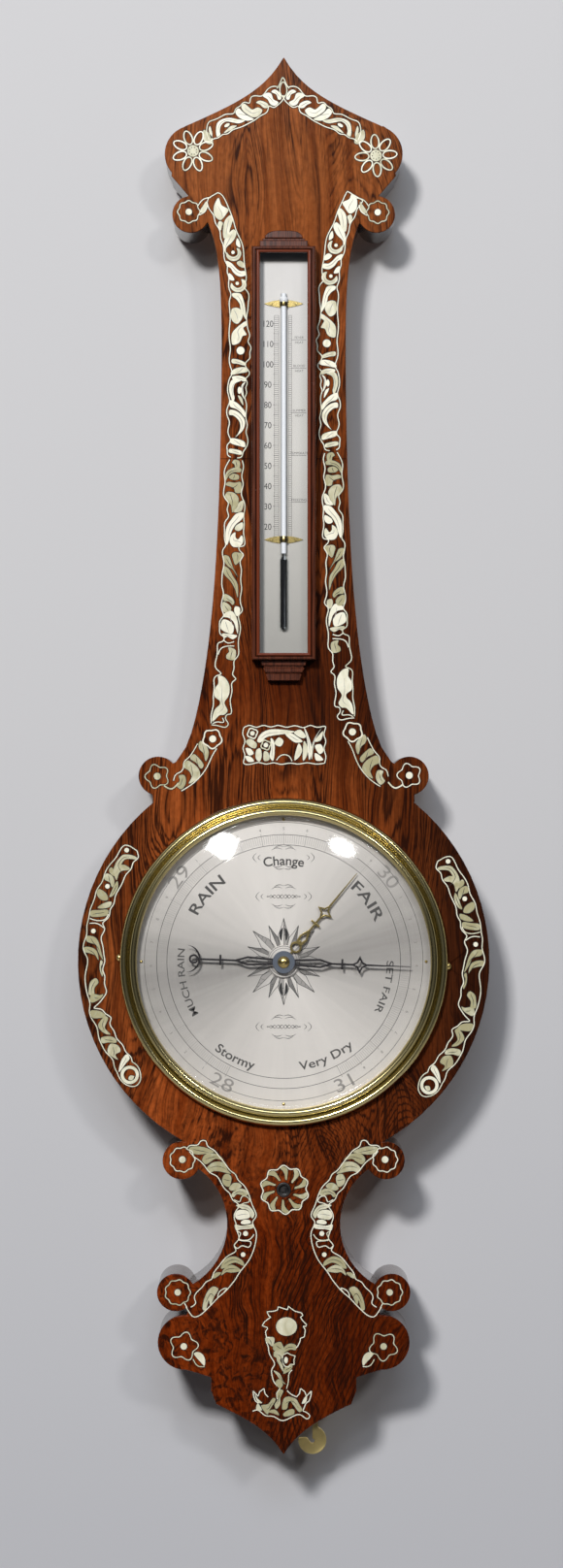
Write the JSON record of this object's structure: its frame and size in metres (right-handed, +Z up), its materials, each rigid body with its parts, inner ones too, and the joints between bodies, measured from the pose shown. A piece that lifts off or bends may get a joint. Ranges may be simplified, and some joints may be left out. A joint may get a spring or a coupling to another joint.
{
  "type": "wheel barometer",
  "caption": "Wall-hung wheel barometer in a scrolled, inlaid case with a boxed thermometer, a round glazed dial, a float-driven hand, a set hand and a back door.",
  "frame": {"origin": "centre of the hanging hole in the plane of the case back", "axes": "+Z up, -Y out of the dial towards the viewer, +Y into the wall, +X to the right seen from the front"},
  "size_m": [0.282, 0.0603, 0.9656],
  "materials": {
    "pine": "matt",
    "rosewood": "polished",
    "pearl": "iridescent pearl",
    "brass": "lacquered",
    "silvered": "silvered, satin",
    "blued_steel": "blued",
    "glass": "clear",
    "mercury": "liquid",
    "ebony": "polished",
    "silk": "twisted",
    "cork": "matt"
  },
  "bodies": {
    "case": {"case_crest": "pine", "case_carcass": "pine", "front_veneer": "rosewood", "trunk_cover": "pine", "tail_cover": "pine", "cover_screws": "brass", "case_hinge_leaves": "brass", "case_hinge_screws": "brass", "hanging_plate": "brass", "hanging_screws": "brass", "steady_hook_screw": "brass", "thermometer_frame": "rosewood", "thermometer_cornice": "rosewood", "thermometer_bracket": "rosewood", "thermometer_glass": "glass", "thermometer_plate": "silvered", "thermometer_tube": "glass", "thermometer_mercury": "mercury", "thermometer_clips": "brass", "clip_pins": "brass", "bezel_ring": "brass", "bezel_glass": "glass", "glass_ring": "brass", "bezel_screws": "brass", "dial_plate": "silvered", "dial_pins": "brass", "movement_bridge": "brass", "bridge_screws": "brass", "set_key_bush": "ebony", "set_cord": "silk", "syphon_tube": "glass", "mercury_column": "mercury", "mercury_open_limb": "mercury", "float_cord": "silk", "counterweight_cord": "silk", "counterweight_tube": "glass", "tube_saddles": "cork", "tube_ties": "cork", "inlay_crest": "pearl", "inlay_trunk": "pearl", "inlay_waist": "pearl", "inlay_dial_sides": "pearl", "inlay_rosette": "pearl", "inlay_tail": "pearl"},
    "indicator": {"pulley_arbor": "brass", "float_pulley": "brass", "indicating_hand": "blued_steel", "hand_button": "brass"},
    "marker": {"set_hand": "brass", "set_hand_collet": "silvered", "set_hand_pipe": "brass", "set_hand_pulley": "brass"},
    "set_key": {"set_key_arbor": "brass", "set_key_pulley": "brass"},
    "float": {"float_weight": "blued_steel"},
    "balance": {"counterweight": "brass"},
    "door": {"back_door": "pine", "door_hinge_leaves": "brass", "door_hinge_screws": "brass"},
    "hook": {"steady_hook": "brass"}
  },
  "joints": [
    {"name": "hand_turn", "type": "hinge", "parent": "case", "child": "indicator", "pos_m": [0, 0, -0.582], "axis": [0, 1, 0], "range_deg": [-245.1, 60.9]},
    {"name": "float_slide", "type": "slide", "parent": "case", "child": "float", "axis": [0, 0, 1], "range_m": [-0.0077, 0.0307], "deforming": ["float_cord", "mercury_open_limb"]},
    {"name": "balance_slide", "type": "slide", "parent": "case", "child": "balance", "axis": [0, 0, 1], "range_m": [-0.0307, 0.0077], "deforming": ["counterweight_cord"]},
    {"name": "set_hand_turn", "type": "hinge", "parent": "case", "child": "marker", "pos_m": [0, 0, -0.582], "axis": [0, 1, 0], "continuous": true},
    {"name": "set_key_turn", "type": "hinge", "parent": "case", "child": "set_key", "pos_m": [0, 0, -0.7383], "axis": [0, 1, 0], "continuous": true},
    {"name": "door_open", "type": "hinge", "parent": "case", "child": "door", "pos_m": [-0.0775, -0.002, -0.582], "axis": [0, 0, 1], "range_deg": [0, 110]},
    {"name": "hook_swing", "type": "hinge", "parent": "case", "child": "hook", "pos_m": [0.022, -0.0028, -0.885], "axis": [0, 1, 0], "range_deg": [-40, 30]}
  ],
  "couplings": [
    {"joint": "float_slide", "follows": "hand_turn", "m_per_rad": -0.007134},
    {"joint": "balance_slide", "follows": "hand_turn", "m_per_rad": 0.007134},
    {"joint": "set_key_turn", "follows": "set_hand_turn", "ratio": 1}
  ]
}
